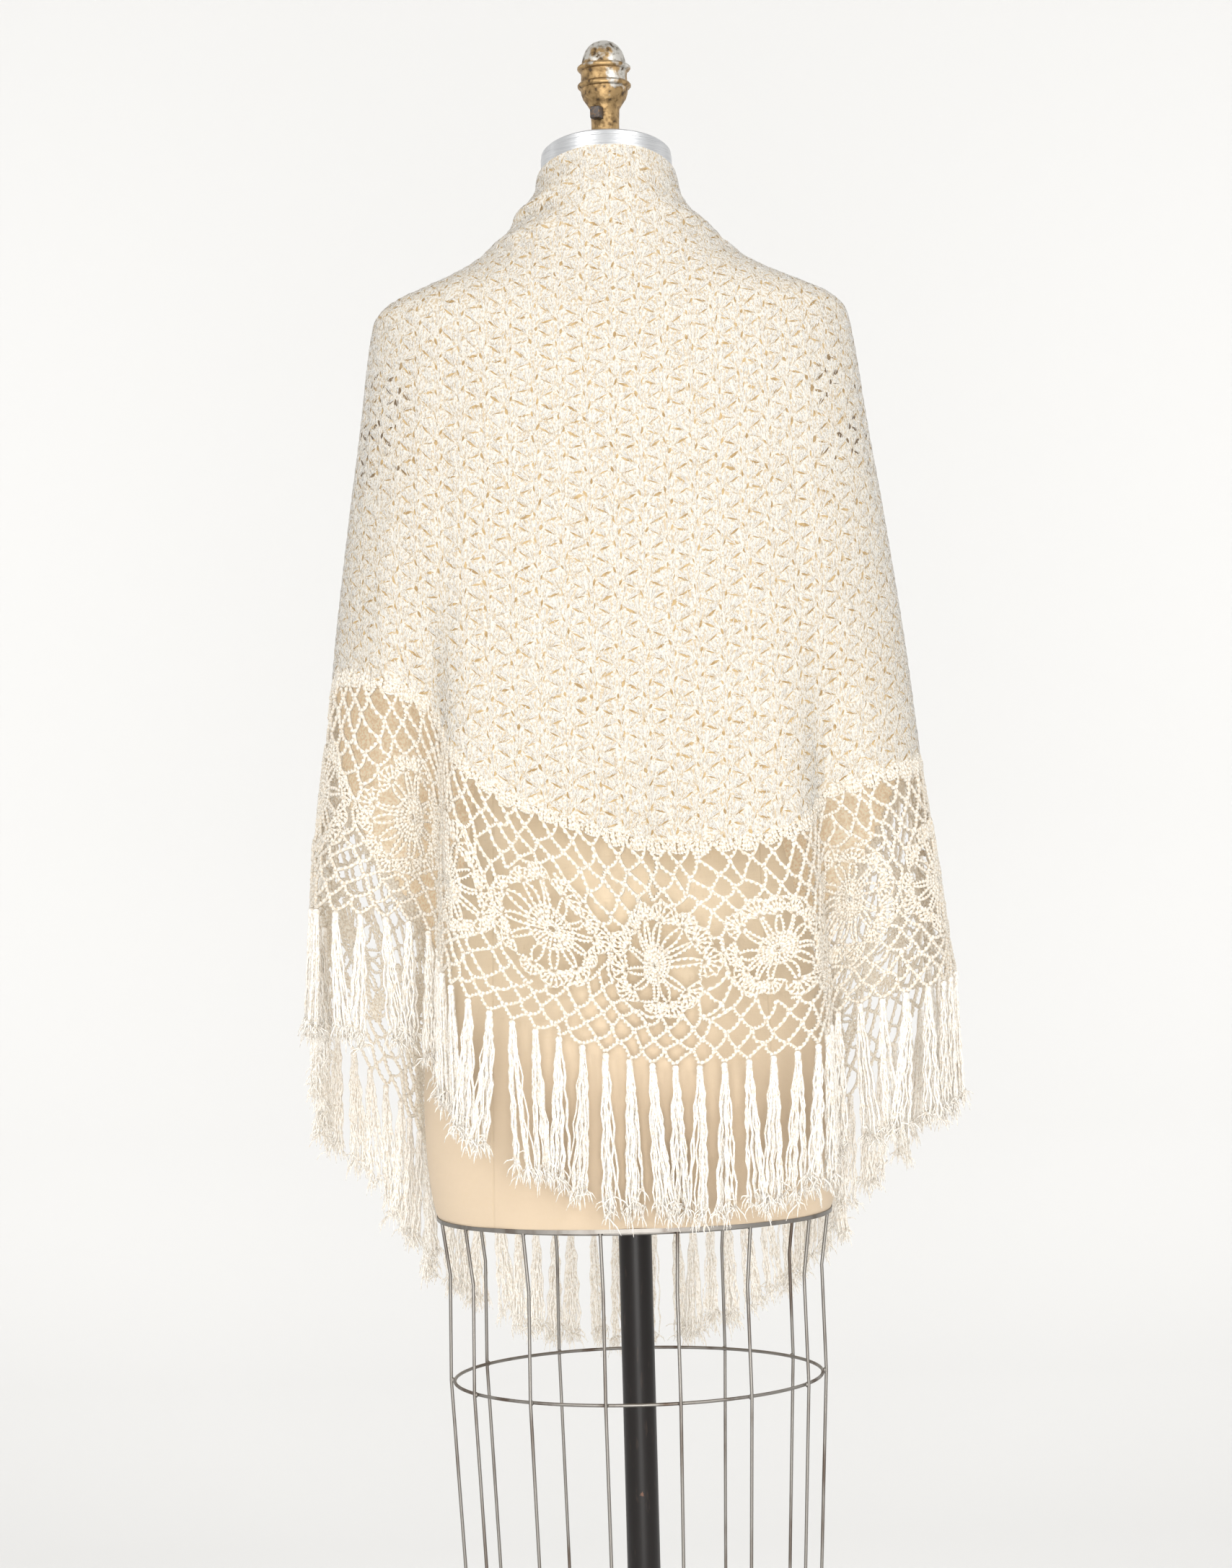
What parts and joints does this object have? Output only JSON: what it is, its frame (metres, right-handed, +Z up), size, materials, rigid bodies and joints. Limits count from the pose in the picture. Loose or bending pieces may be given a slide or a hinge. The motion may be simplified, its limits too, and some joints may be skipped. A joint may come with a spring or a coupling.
{
  "type": "lace shawl on a dress form",
  "caption": "Crocheted shawl with a wheel-lace border and tassel fringe, worn round a limbless dress form with a wire cage and pole.",
  "frame": {"origin": "on the pole's axis, in the plane of the foot's underside", "axes": "+Z up along the pole, -Y towards the wearer's back, where the shawl's point hangs, +X to the wearer's right"},
  "size_m": [0.5317, 0.42, 1.668],
  "materials": {
    "crochet": "matt crocheted rayon and cotton yarn, ivory",
    "fringe": "silky crimped yarn, pale ivory",
    "form_cover": "unbleached linen over a stiff shell",
    "cap": "brushed",
    "finial": "gilt worn to bare grey metal",
    "set_screw": "dark, oily",
    "cage": "aged plain wire",
    "pole": "satin black enamel, chipped",
    "foot": "black enamel"
  },
  "bodies": {
    "root": {"shawl_ground": "crochet", "lace_border_left": "crochet", "lace_border_right": "crochet", "fringe_left": "fringe", "fringe_right": "fringe", "form_body": "form_cover", "neck_cap": "cap", "finial": "finial", "set_screw": "set_screw", "pole": "pole", "foot": "foot", "cage_ring_top": "cage", "cage_ring_middle": "cage", "cage_ring_bottom": "cage", "cage_wire_01": "cage", "cage_wire_02": "cage", "cage_wire_03": "cage", "cage_wire_04": "cage", "cage_wire_05": "cage", "cage_wire_06": "cage", "cage_wire_07": "cage", "cage_wire_08": "cage", "cage_wire_09": "cage", "cage_wire_10": "cage", "cage_wire_11": "cage", "cage_wire_12": "cage", "cage_wire_13": "cage"}
  },
  "joints": []
}
